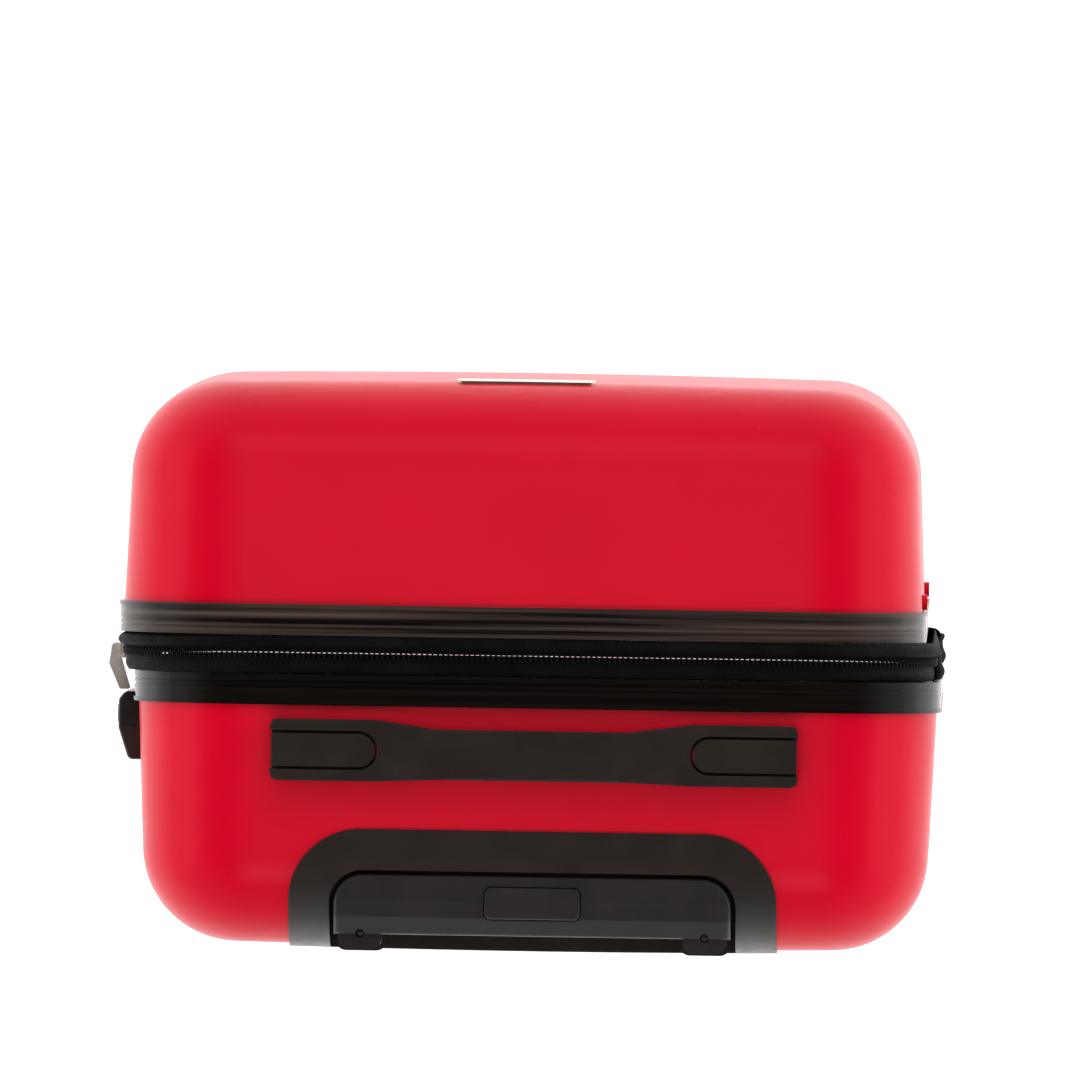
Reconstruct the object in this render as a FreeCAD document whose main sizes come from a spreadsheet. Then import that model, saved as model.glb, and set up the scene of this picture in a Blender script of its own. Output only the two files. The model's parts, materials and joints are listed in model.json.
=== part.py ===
"""Cabin suitcase: two moulded half shells joined by a zip, standing upright on four swivel casters.

Frame: +Z up the case, X across its width (+X is the lock side, -X the hinge side), -Y the front face,
+Y the back face with the telescopic handle. The origin is on the floor under the middle of the case.
"""
import FreeCAD, Part
import math
import os
import re
from FreeCAD import Placement, Rotation, Vector
import Sketcher

doc = FreeCAD.newDocument("suitcase")

# ---------------------------------------------------------------------------------------------
# driving dimensions, in millimetres and degrees
# ---------------------------------------------------------------------------------------------
SIZES = (
    ("case_width", 352, "width of a half shell at its mouth"),
    ("case_tall", 486, "height of a half shell at its mouth"),
    ("case_bottom", 54, "height of the shell's lower end over the floor"),
    ("corner_round", 54, "corner radius of the case seen from the front"),
    ("edge_round", 42, "radius between each face and the four sides"),
    ("draft", 2.4, "draft of the shell's sides, degrees"),
    ("crown", 6500, "radius of the crowned front and back faces"),
    ("wall", 2, "shell wall"),
    ("front_deep", 101.5, "front shell beyond its rim"),
    ("back_deep", 109.6, "back shell beyond its rim"),
    ("front_rim_y", -27.2, "shell side of the front rim"),
    ("back_rim_y", 16.8, "shell side of the back rim"),
    ("rim_band", 13.5, "depth of each rim"),
    ("rim_proud", 1.4, "how far the rims stand out of the shells"),
    ("rim_lip", 2, "rim flange that covers the shell's edge"),
    ("bead_proud", 0.7, "bead along the shell side of each rim"),
    ("bead_band", 1.8, "width of that bead"),
    ("groove_deep", 0.6, "depth of the two fine grooves in each rim"),
    ("groove_band", 0.8, "width of each groove"),
    ("slack", 3.4, "sideways offset of each half that the slack of the zip leaves"),
    ("lining_gap", 0.4, "air between shell and lining"),
    ("lining_thick", 0.8, "lining cloth"),
    ("tape_wide", 359, "zip tapes across the outside"),
    ("tape_thick", 4, "zip tape with its cord and coil"),
    ("seam_y", -5.4, "middle of the zip"),
    ("seam_gap", 0.6, "gap between the two zip halves"),
    ("strip_thick", 1.5, "fabric hinge strip"),
    ("channel_wide", 178, "tube channel in the back face, and the opening of the bezel"),
    ("channel_deep", 20, "depth of the tube channel"),
    ("recess_front", 88.7, "front wall of the grip recess"),
    ("recess_floor", 500, "floor of the grip recess"),
    ("recess_round", 15, "corner radius of the grip recess"),
    ("liner_wall", 2, "wall of the moulded recess liner"),
    ("bezel_wide", 214, "width of the bezel"),
    ("bezel_front", 70.7, "front edge of the bezel"),
    ("bezel_round", 32, "outer corner radius of the bezel"),
    ("bezel_proud", 1.3, "how far the bezel stands out of the shell"),
    ("post_out", 4.4, "how far the pull's pin stands out of the tapes"),
    ("bezel_foot", 462, "lower end of the bezel's feet on the back face"),
    ("tube_apart", 151, "distance between the two tube axes"),
    ("tube_y", 116.5, "tube axes, front to back"),
    ("tube_wide", 20, "outer tube across"),
    ("tube_deep", 15, "outer tube front to back"),
    ("tube_round", 5, "corner radius of the outer tube"),
    ("tube_wall", 1.1, "wall of every tube"),
    ("tube_slip", 0.45, "clearance between one tube and the next"),
    ("tube_foot", 76, "lower end of the outer tubes"),
    ("grip_wide", 174, "grip across"),
    ("grip_front", 90.5, "front of the grip"),
    ("grip_back", 117, "back of the grip"),
    ("grip_top", 538.5, "top of the grip"),
    ("grip_under", 519, "underside of the grip"),
    ("grip_round", 13, "front corner radius of the grip"),
    ("button_wide", 42, "release button across"),
    ("button_deep", 14, "release button front to back"),
    ("button_y", 102.4, "middle of the release button"),
    ("button_gap", 0.35, "gap round the release button"),
    ("handle_long", 231, "carry handle end to end"),
    ("handle_wide", 27, "carry handle across its ends"),
    ("handle_y", 36.1, "middle of the carry handle"),
    ("handle_under", 542, "underside of the handle's ends"),
    ("handle_top", 552, "top of the handle's ends"),
    ("handle_arch", 5, "how far the underside of the handle's middle is raised"),
    ("handle_waist_front", 3.8, "how far the handle narrows in front"),
    ("handle_waist_back", 1.2, "how far the handle narrows behind"),
    ("tongue_long", 46, "fixed tongue inside each handle end"),
    ("tongue_wide", 14.5, "width of that tongue"),
    ("tongue_gap", 1.3, "gap round the tongue"),
    ("lock_z", 440, "middle of the lock"),
    ("lock_long", 66, "lock up and down"),
    ("lock_out", 185, "outer face of the lock from the middle of the back half"),
    ("lock_start", 13.4, "edge of the lock towards the zip"),
    ("lock_bend", 29.5, "where the lock's outer face starts to slope"),
    ("lock_end", 43.5, "edge of the lock away from the zip"),
    ("dial_radius", 6, "radius of a number dial"),
    ("dial_thick", 4.6, "thickness of a number dial"),
    ("dial_pitch", 7, "distance from one dial to the next"),
    ("dial_y", 23.2, "dial axis"),
    ("wheel_radius", 22, "caster wheel radius"),
    ("wheel_wide", 12, "width of one wheel of a pair"),
    ("wheel_trail", 12, "distance from the swivel axis to the axle"),
    ("caster_inset_x", 36, "swivel axis in from the side of the case"),
    ("caster_y", 90, "swivel axes in front of and behind the middle"),
    ("web_wide", 8, "web of the swivel fork between the wheels"),
    ("crown_low", 48.3, "underside of the swivel fork's crown"),
    ("crown_high", 52, "top of the swivel fork's crown"),
    ("base_low", 52.4, "underside of the caster base"),
    ("cup_radius", 21, "caster base's boss inside the shell"),
    ("cup_top", 72, "top of that boss"),
    ("pin_radius", 4, "swivel pin"),
    ("pin_slip", 0.05, "running clearance of pins and axles"),
)

sheet = doc.addObject("Spreadsheet::Sheet", "size")
ALIASES = {alias for alias, _, _ in SIZES}
for row, (alias, value, note) in enumerate(SIZES, start=1):
    sheet.set(f"A{row}", note)
    sheet.set(f"B{row}", str(value))
    sheet.setAlias(f"B{row}", alias)
doc.recompute()


def bound(expression):
    """The expression with each cell's alias written as the spreadsheet's own."""
    return re.sub(r"[a-z][a-z_]*[a-z]",
                  lambda m: f"size.{m.group()}" if m.group() in ALIASES else m.group(),
                  str(expression))


def value_of(expression):
    return float(sheet.evalExpression(bound(expression)))


def bind(obj, **places):
    """Bind properties of an object to expressions; a double underscore in a name stands for a dot."""
    for name, expression in places.items():
        obj.setExpression(name.replace("__", "."), bound(expression))
    return obj


# ---------------------------------------------------------------------------------------------
# building blocks
# ---------------------------------------------------------------------------------------------
def block(name, x, y, z):
    """A box from its two limits along each axis."""
    box = doc.addObject("Part::Box", name)
    return bind(box, Length=f"({x[1]}) - ({x[0]})", Width=f"({y[1]}) - ({y[0]})",
                Height=f"({z[1]}) - ({z[0]})",
                Placement__Base__x=x[0], Placement__Base__y=y[0], Placement__Base__z=z[0])


AXIS_TURNS = {"x": Rotation(Vector(0, 1, 0), 90), "y": Rotation(Vector(1, 0, 0), -90), "z": Rotation()}


def rod(name, radius, length, start, axis="z"):
    """A cylinder from its start point, running along +X, +Y or +Z."""
    cylinder = doc.addObject("Part::Cylinder", name)
    cylinder.Placement = Placement(Vector(), AXIS_TURNS[axis])
    return bind(cylinder, Radius=radius, Height=length, Placement__Base__x=start[0],
                Placement__Base__y=start[1], Placement__Base__z=start[2])


def fuse(name, *parts):
    union = doc.addObject("Part::MultiFuse", name)
    union.Shapes = list(parts)
    return union


def common(name, *parts):
    overlap = doc.addObject("Part::MultiCommon", name)
    overlap.Shapes = list(parts)
    return overlap


def cut(name, base, *tools):
    result = doc.addObject("Part::Cut", name)
    result.Base = base
    result.Tool = tools[0] if len(tools) == 1 else fuse(name + "_tools", *tools)
    return result


def group(name, *parts):
    """Separate solids that share one node."""
    compound = doc.addObject("Part::Compound", name)
    compound.Links = list(parts)
    return compound


def new_sketch(body, plane, start):
    """A sketch on one of the body's origin planes, moved along the plane's axis to start."""
    sketch = body.newObject("Sketcher::SketchObject", body.Name + "_sketch")
    planes = {feature.Role: feature for feature in body.Origin.OriginFeatures}
    sketch.AttachmentSupport = [(planes[plane + "_Plane"], "")]
    sketch.MapMode = "FlatFace"
    sign = "-" if plane == "XZ" else ""
    return bind(sketch, AttachmentOffset__Base__z=f"{sign}({start})")


def measure(sketch, kind, places, expression):
    """A sketch dimension bound to the sheet."""
    number = sketch.addConstraint(Sketcher.Constraint(kind, *places, value_of(expression)))
    sketch.setExpression(f"Constraints[{number}]", bound(expression))


def draw_rounded(sketch, width, height, radius):
    """A rounded rectangle about the sketch's origin."""
    half_x = value_of(width) / 2
    half_y = value_of(height) / 2
    r = value_of(radius)
    x, y = half_x - r, half_y - r
    sides = (((-x, -half_y), (x, -half_y)), ((half_x, -y), (half_x, y)),
             ((x, half_y), (-x, half_y)), ((-half_x, y), (-half_x, -y)))
    shapes = [Part.LineSegment(Vector(*a), Vector(*b)) for a, b in sides]
    for centre, turn in (((x, -y), -90), ((x, y), 0), ((-x, y), 90), ((-x, -y), 180)):
        circle = Part.Circle(Vector(*centre), Vector(0, 0, 1), r)
        shapes.append(Part.ArcOfCircle(circle, math.radians(turn), math.radians(turn + 90)))
    sketch.addGeometry(shapes, False)
    rules = []
    for side in range(4):
        rules.append(Sketcher.Constraint("Tangent", side, 2, 4 + side, 1))
        rules.append(Sketcher.Constraint("Tangent", 4 + side, 2, (side + 1) % 4, 1))
    rules += [Sketcher.Constraint("Horizontal", 0), Sketcher.Constraint("Vertical", 1),
              Sketcher.Constraint("Horizontal", 2), Sketcher.Constraint("Vertical", 3)]
    rules += [Sketcher.Constraint("Equal", 4, corner) for corner in (5, 6, 7)]
    rules.append(Sketcher.Constraint("Symmetric", 0, 1, 2, 1, -1, 1))
    sketch.addConstraint(rules)
    measure(sketch, "DistanceX", (3, 1, 1, 1), width)
    measure(sketch, "DistanceY", (0, 1, 2, 1), height)
    measure(sketch, "Radius", (4,), radius)


def draw_outline(sketch, points):
    """A closed outline of straight sides through points given from the sketch's origin."""
    places = [Vector(value_of(x), value_of(y)) for x, y in points]
    count = len(points)
    sketch.addGeometry([Part.LineSegment(places[i], places[(i + 1) % count]) for i in range(count)], False)
    sketch.addConstraint([Sketcher.Constraint("Coincident", i, 2, (i + 1) % count,
                                              1) for i in range(count)])
    for i, (x, y) in enumerate(points):
        measure(sketch, "DistanceX", (-1, 1, i, 1), x)
        measure(sketch, "DistanceY", (-1, 1, i, 1), y)


def pad(name, plane, start, length, draw, centre=("0", "0"), backwards=False, draft=None):
    """A body with one sketch, padded from start along the plane's normal (XY: +Z, YZ: +X, XZ: -Y)."""
    body = doc.addObject("PartDesign::Body", name)
    sketch = new_sketch(body, plane, start)
    bind(sketch, AttachmentOffset__Base__x=centre[0], AttachmentOffset__Base__y=centre[1])
    draw(sketch)
    feature = body.newObject("PartDesign::Pad", name + "_pad")
    feature.Profile = sketch
    feature.Reversed = backwards
    bind(feature, Length=length)
    if draft:
        bind(feature, TaperAngle=f"-({draft})")
    return body


def rounded_block(name, plane, start, length, width, height, radius, centre=("0", "0"), **options):
    return pad(name, plane, start, length, lambda sketch: draw_rounded(sketch, width, height, radius),
               centre, **options)


def outline_block(name, plane, start, length, points, **options):
    return pad(name, plane, start, length, lambda sketch: draw_outline(sketch, points), **options)


def rounded(name, base, radius, wanted):
    """The base with the edges that wanted(edge) picks rounded over."""
    doc.recompute()
    fillet = doc.addObject("Part::Fillet", name)
    fillet.Base = base
    r = value_of(radius)
    fillet.Edges = [(number, r, r)
                    for number, edge in enumerate(base.Shape.Edges, start=1) if wanted(edge)]
    return fillet


nodes = []


def node(name, shape):
    """Name the finished sub-part; the label is its file's name."""
    shape.Label = name
    nodes.append(shape)
    return shape


# ---------------------------------------------------------------------------------------------
# the two half shells
# ---------------------------------------------------------------------------------------------
MIDDLE_Z = "(case_bottom + case_tall / 2)"
FRONT, BACK = "front", "back"
HALF = {
    FRONT: {"x": "slack", "mouth": "(front_rim_y + rim_band - rim_lip)",
            "deep": "(front_deep + rim_band - rim_lip)",
            "sign": -1, "face": "(front_rim_y - front_deep)"},
    BACK: {"x": "-slack", "mouth": "(back_rim_y - rim_band + rim_lip)",
           "deep": "(back_deep + rim_band - rim_lip)",
           "sign": 1, "face": "(back_rim_y + back_deep)"},
}


def half_form(name, half, grow):
    """The solid form of a half shell, grown by a distance: drafted sides, crowned face, rounded edges."""
    place = HALF[half]
    sides = rounded_block(name + "_sides", "XZ", place["mouth"], f"{place['deep']} + ({grow})",
                          f"case_width + 2 * ({grow})", f"case_tall + 2 * ({grow})",
                          f"corner_round + ({grow})",
                          (place["x"], MIDDLE_Z), backwards=place["sign"] > 0, draft="draft")
    dome = doc.addObject("Part::Sphere", name + "_dome")
    centre_y = f"{place['face']} - ({place['sign']}) * crown"
    bind(dome, Radius=f"crown + ({grow})", Placement__Base__x=place["x"], Placement__Base__y=centre_y,
         Placement__Base__z=MIDDLE_Z)
    crowned = common(name + "_crowned", sides, dome)
    far = place["sign"] * (value_of(place["face"]) - place["sign"] * 15)
    return rounded(name, crowned, f"edge_round + ({grow})",
                   lambda edge: min(place["sign"] * edge.BoundBox.YMin,
                                    place["sign"] * edge.BoundBox.YMax) > far)


def caster_places(half):
    """(name, sign of X, x, y) of the two casters of one half."""
    y_sign = HALF[half]["sign"]
    for side, x_sign in (("lock_side", 1), ("hinge_side", -1)):
        x = f"{HALF[half]['x']} + ({x_sign}) * (case_width / 2 - caster_inset_x)"
        yield f"{half}_{side}", x_sign, x, f"({y_sign}) * caster_y"


def hollows(name, half, grow):
    """What is pressed into a half shell, grown by a distance: caster cups, tube channel, grip recess."""
    tools = []
    for caster, _, x, y in caster_places(half):
        tools.append(rod(f"{name}_{caster}_cup", f"cup_radius + ({grow})", f"cup_top + ({grow}) - 10",
                         (x, y, "10")))
    if half == BACK:
        back = HALF[BACK]["face"]
        reach = f"(channel_wide / 2 + ({grow}))"
        tools.append(block(name + "_channel", (f"-slack - {reach}", f"-slack + {reach}"),
                           (f"{back} - channel_deep - ({grow})", f"{back} + 30"),
                           ("20", "recess_floor + 20")))
        tools.append(rounded_block(name + "_recess", "XY", f"recess_floor - liner_wall - ({grow})", "80",
                                   f"channel_wide + 2 * liner_wall + 2 * ({grow})", "80",
                                   f"recess_round + liner_wall + ({grow})",
                                   ("-slack", f"recess_front - liner_wall - ({grow}) + 40")))
        lock = f"lock_long / 2 - 3 + ({grow})"
        tools.append(block(name + "_lock_pocket", (f"-slack + 160 - ({grow})", "-slack + 200"),
                           (f"back_rim_y + 0.4 - ({grow})", f"lock_end - 2 + ({grow})"),
                           (f"lock_z - ({lock})", f"lock_z + {lock}")))
    return tools


forms = {}
for half in (FRONT, BACK):
    outside = half_form(f"{half}_outside", half, "0")
    inside = half_form(f"{half}_inside", half, "-wall")
    forms[half] = outside
    outer = cut(f"{half}_outer", outside, *hollows(f"{half}_outer_hollow", half, "0"))
    inner = cut(f"{half}_inner", inside, *hollows(f"{half}_inner_hollow", half, "wall"))
    node(f"{half}_shell", cut(f"{half}_shell_solid", outer, inner))
    lining = {}
    for layer, grow in (("out", "wall + lining_gap"), ("in", "wall + lining_gap + lining_thick")):
        form = half_form(f"{half}_lining_{layer}_form", half, f"-({grow})")
        lining[layer] = cut(f"{half}_lining_{layer}", form,
                            *hollows(f"{half}_lining_{layer}_hollow", half, grow))
    node(f"{half}_lining", cut(f"{half}_lining_solid", lining["out"], lining["in"]))


# ---------------------------------------------------------------------------------------------
# rims, zip and fabric hinge
# ---------------------------------------------------------------------------------------------
def ring(name, half, start, length, outside, inside):
    """A band along the case's outline, between two distances grown from the shell's mouth."""
    solids = [rounded_block(f"{name}_{part}", "XZ", start, length, f"case_width + 2 * ({grow})",
                            f"case_tall + 2 * ({grow})", f"corner_round + ({grow})",
                            (HALF[half]["x"], MIDDLE_Z))
              for part, grow in (("outer", outside), ("inner", inside))]
    return cut(name, *solids)


def rim(half):
    """A hard trim: an outer band, a flange over the shell's edge, a bead and two fine grooves."""
    sign = HALF[half]["sign"]
    shell_side = f"{half}_rim_y"
    zip_side = f"({shell_side} - ({sign}) * rim_band)"

    def from_zip(low, high):
        """Limits of a band measured from the zip side, as (start, length); pads run towards -Y."""
        edges = (f"{zip_side} + ({sign}) * ({low})", f"{zip_side} + ({sign}) * ({high})")
        return (edges[1] if sign > 0 else edges[0]), f"({high}) - ({low})"

    band = ring(f"{half}_rim_band", half, *from_zip("0", "rim_band"), "rim_proud", "0")
    flange = ring(f"{half}_rim_flange", half, *from_zip("0", "rim_lip"), "rim_proud", "-6")
    bead = ring(f"{half}_rim_bead", half, *from_zip("rim_band - bead_band", "rim_band"),
                "rim_proud + bead_proud", "0")
    body = fuse(f"{half}_rim_body", band, flange, bead)
    grooves = [ring(f"{half}_rim_groove_{number}", half, *from_zip(place, f"{place} + groove_band"),
                    "rim_proud + 3", "rim_proud - groove_deep")
               for number, place in enumerate(("2.9", "5.2"))]
    return cut(f"{half}_rim_solid", body, *grooves)


for half in (FRONT, BACK):
    node(f"{half}_rim", rim(half))

ARC_TOP = f"({MIDDLE_Z} + case_tall / 2 - corner_round)"
ARC_BOTTOM = f"({MIDDLE_Z} - case_tall / 2 + corner_round)"
ZIP_HALVES = {
    FRONT: ("front_rim_y + rim_band + 0.2", "seam_y - seam_gap / 2"),
    BACK: ("seam_y + seam_gap / 2", "back_rim_y - rim_band - 0.2"),
}
for half, (low, high) in ZIP_HALVES.items():
    solids = [rounded_block(f"{half}_zip_{part}", "XZ", high, f"({high}) - ({low})",
                            f"tape_wide - 2 * ({shrink})",
                            f"tape_wide - 2 * ({shrink}) + case_tall - case_width",
                            f"corner_round + 4 - ({shrink})", ("0", MIDDLE_Z))
              for part, shrink in (("outer", "0"), ("inner", "tape_thick"))]
    hinge_side = block(f"{half}_zip_end", ("-200", "-150"), (f"{low} - 5", f"{high} + 5"),
                       (ARC_BOTTOM, ARC_TOP))
    node(f"{half}_zip", cut(f"{half}_zip_solid", *solids, hinge_side))

node("hinge_strip", block("hinge_strip_solid", ("-slack - 174.5", "-slack - 174.5 + strip_thick"),
                          ("front_rim_y + rim_band + 0.6", "back_rim_y - rim_band - 0.2"),
                          (f"{ARC_BOTTOM} + 14", f"{ARC_TOP} - 14")))
tabs = [rounded_block(f"end_tab_{number}", "XZ", "back_rim_y - rim_band - 0.6", "14.5", "5", "12", "2",
                      ("-tape_wide / 2 + 1", z))
        for number, z in enumerate((f"{ARC_TOP} - 6.6", f"{ARC_BOTTOM} + 6.6"))]
node("zip_end_tabs", group("zip_end_tabs_solids", *tabs))

# two sliders meet at the lock, each with a flat pull that reaches across the back rim to the lock
SLIDER_X = "tape_wide / 2 + 0.4"
for name, z in (("upper", "lock_z + 8"), ("lower", "lock_z - 8")):
    body = rounded_block(f"slider_{name}_body", "YZ", SLIDER_X, "2.2", "9", "13", "3", ("seam_y", z))
    ears = [block(f"slider_{name}_ear_{end}", (f"{SLIDER_X} + 2", f"{SLIDER_X} + post_out + 1.2"),
                  ("seam_y - 1.2", "seam_y + 1.2"), (f"{z} + {low}", f"{z} + {low} + 1.2"))
            for end, low in (("top", "1.7"), ("bottom", "(-2.9)"))]
    post = rod(f"slider_{name}_post", "1", "5", (f"{SLIDER_X} + post_out", "seam_y", f"{z} - 2.5"))
    node(f"zip_slider_{name}", fuse(f"slider_{name}_solid", body, *ears, post))
    plate = outline_block(f"pull_{name}_plate", "XY", f"{z} - 1.3", "2.6",
                          ((f"{SLIDER_X} + 2.9", "seam_y + 0.8"), (f"{SLIDER_X} + 6.2", "seam_y + 0.8"),
                           (f"{SLIDER_X} + 7.2", "seam_y + 7"), (f"{SLIDER_X} + 2.3", "lock_start - 0.5"),
                           (f"{SLIDER_X} - 1.8", "lock_start - 0.5"), (f"{SLIDER_X} + 2.7", "seam_y + 3.5")))
    pin = (f"{SLIDER_X} + post_out", "seam_y", f"{z} - 1.3")
    ring_outer = rod(f"pull_{name}_ring", "1.95", "2.6", pin)
    ring_hole = rod(f"pull_{name}_hole", "1.15", "2.6", pin)
    node(f"zip_pull_{name}", cut(f"pull_{name}_solid", fuse(f"pull_{name}_whole", plate, ring_outer),
                                 ring_hole))


# ---------------------------------------------------------------------------------------------
# telescopic handle
# ---------------------------------------------------------------------------------------------
def tube_pair(name, low, high, shrink, wall, hole=True):
    """Two tubes that follow the outer tube's section, made smaller all round by shrink."""
    tubes = []
    for number, side in enumerate((1, -1)):
        centre = (f"-slack + ({side}) * tube_apart / 2", "tube_y")
        sections = [rounded_block(f"{name}_{part}_{number}", "XY", low, f"({high}) - ({low})",
                                  f"tube_wide - 2 * ({inset})", f"tube_deep - 2 * ({inset})",
                                  f"tube_round - ({inset})", centre)
                    for part, inset in (("outer", shrink), ("inner", f"{shrink} + ({wall})"))]
        tubes.append(cut(f"{name}_{number}", *sections) if hole else sections[0])
    return tubes


STEP = "(tube_wall + tube_slip)"
PLUG = "(tube_foot + 4)"
skin = half_form("bezel_skin_form", BACK, "bezel_proud")
frame_outline = rounded_block("bezel_outline", "XY", "bezel_foot", "100", "bezel_wide", "100",
                              "bezel_round",
                              ("-slack", "bezel_front + 50"))
skin_band = cut("bezel_skin", common("bezel_skin_area", skin, frame_outline), forms[BACK])
liner = rounded_block("liner_outer", "XY", "recess_floor - liner_wall", "60",
                      "channel_wide + 2 * liner_wall", "70",
                      "recess_round + liner_wall", ("-slack", "recess_front - liner_wall + 35"))
liner_in_skin = common("liner_trimmed", liner, skin)
mouth = rounded_block("recess_mouth", "XY", "recess_floor", "100", "channel_wide", "80", "recess_round",
                      ("-slack", "recess_front + 40"))
below = block("recess_below", ("-slack - channel_wide / 2", "-slack + channel_wide / 2"),
              (f"{HALF[BACK]['face']} - channel_deep", "140"),
              ("400", "recess_floor - liner_wall"))
collar_holes = tube_pair("collar_hole", "recess_floor - 20", "recess_floor + 20", "-0.2", "1", hole=False)
housing = fuse("housing_body", skin_band, liner_in_skin)
node("trolley_housing", cut("trolley_housing_solid", housing, mouth, below, *collar_holes))

node("outer_tubes", group("outer_tubes_solids", *tube_pair("outer_tube", "tube_foot", "recess_floor", "0",
                                                           "tube_wall")))
collars = []
for number, side in enumerate((1, -1)):
    centre = (f"-slack + ({side}) * tube_apart / 2", "tube_y")
    flange = rounded_block(f"collar_{number}_flange", "XY", "recess_floor", "5", "tube_wide + 3",
                           "tube_deep + 2",
                           "tube_round", centre)
    hole = rounded_block(f"collar_{number}_hole", "XY", "recess_floor - 1", "8",
                         f"tube_wide - 2 * ({STEP} - 0.3)", f"tube_deep - 2 * ({STEP} - 0.3)",
                         f"tube_round - ({STEP} - 0.3)", centre)
    collars.append(cut(f"collar_{number}", flange, hole))
node("guide_collars", group("guide_collars_solids", *collars))

node("middle_tubes", group("middle_tubes_solids",
                           *tube_pair("middle_tube", PLUG, "recess_floor + 8", STEP, "tube_wall")))
stage_collars = []
for number, side in enumerate((1, -1)):
    centre = (f"-slack + ({side}) * tube_apart / 2", "tube_y")
    flange = rounded_block(f"stage_collar_{number}_flange", "XY", "recess_floor + 8", "4", "tube_wide - 1",
                           "tube_deep - 1", "tube_round - 0.5", centre)
    hole = rounded_block(f"stage_collar_{number}_hole", "XY", "recess_floor", "20",
                         f"tube_wide - 2 * (2 * {STEP} - 0.3)", f"tube_deep - 2 * (2 * {STEP} - 0.3)",
                         f"tube_round - (2 * {STEP} - 0.3)", centre)
    stage_collars.append(cut(f"stage_collar_{number}", flange, hole))
node("stage_collars", group("stage_collars_solids", *stage_collars))

node("inner_tubes", group("inner_tubes_solids",
                          *tube_pair("inner_tube", f"{PLUG} + 4", "grip_under", f"2 * {STEP}",
                                     "tube_wall")))

# the grip: its section is drawn from the side and trimmed to its outline from above
grip_side = outline_block("grip_section", "YZ", "-slack - grip_wide / 2", "grip_wide",
                          (("grip_front", "grip_under"), ("grip_front", "grip_top - 0.5"),
                           ("grip_front + 11", "grip_top"),
                           ("grip_back - 8", "grip_top - 2.2"), ("grip_back", "grip_top - 8"),
                           ("grip_back", "grip_under")))
grip_plan = rounded_block("grip_plan", "XY", "grip_under - 5", "40", "grip_wide", "60", "grip_round",
                          ("-slack", "grip_front + 30"))
grip_block = rounded("grip_block", common("grip_trimmed", grip_side, grip_plan), "2.2",
                     lambda edge: (edge.BoundBox.ZMin > value_of("grip_top") - 9
                                   and edge.BoundBox.ZLength < 8.5))
button_hole = rounded_block("button_hole", "XY", "grip_under + 3", "40", "button_wide + 2 * button_gap",
                            "button_deep + 2 * button_gap", "3.3", ("-slack", "button_y"))
legs = [rounded_block(f"grip_leg_{number}", "XY", "recess_floor + 12.5", "16", "tube_wide - 1",
                      "tube_deep - 1",
                      "tube_round - 0.5", (f"-slack + ({side}) * tube_apart / 2", "tube_y"))
        for number, side in enumerate((1, -1))]
leg_holes = tube_pair("leg_hole", "recess_floor", "grip_under", f"2 * {STEP}", "1", hole=False)
rod_holes = [rod(f"rod_hole_{number}", "1.9", "20", (f"-slack + ({side}) * tube_apart / 2", "tube_y",
                                                     "grip_under - 5"))
             for number, side in enumerate((1, -1))]
crossbar_slot = block("crossbar_slot", ("-slack - tube_apart / 2 - 2.6", "-slack + tube_apart / 2 + 2.6"),
                      ("button_y - 2.4", "tube_y + 2.4"), ("grip_under - 1", "grip_under + 8"))
grip_body = fuse("grip_body", grip_block, *legs)
node("trolley_grip", cut("trolley_grip_solid", grip_body, button_hole, crossbar_slot, *leg_holes,
                         *rod_holes))

cap = rounded_block("button_cap", "XY", "grip_under + 8.4", "grip_top - grip_under - 8.2", "button_wide",
                    "button_deep",
                    "3", ("-slack", "button_y"))
cap_rounded = rounded("button_cap_rounded", cap, "1.2",
                      lambda edge: edge.BoundBox.ZMin > value_of("grip_top") - 0.5)
stem = block("button_stem", ("-slack - 8", "-slack + 8"), ("button_y - 2", "button_y + 2"),
             ("grip_under + 4", "grip_under + 8.6"))
crossbar = block("button_crossbar", ("-slack - tube_apart / 2 - 2", "-slack + tube_apart / 2 + 2"),
                 ("tube_y - 4", "tube_y"), ("grip_under + 4", "grip_under + 7"))
bridge = block("button_bridge", ("-slack - 8", "-slack + 8"), ("button_y - 2", "tube_y"),
               ("grip_under + 4", "grip_under + 7"))
node("trolley_button", fuse("trolley_button_solid", cap_rounded, stem, bridge, crossbar))
node("push_rods", group("push_rods_solids",
                        *[rod(f"push_rod_{number}", "1.5", f"grip_under + 4 - ({PLUG} + 40)",
                              (f"-slack + ({side}) * tube_apart / 2", "tube_y", f"{PLUG} + 40"))
                          for number, side in enumerate((1, -1))]))

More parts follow.
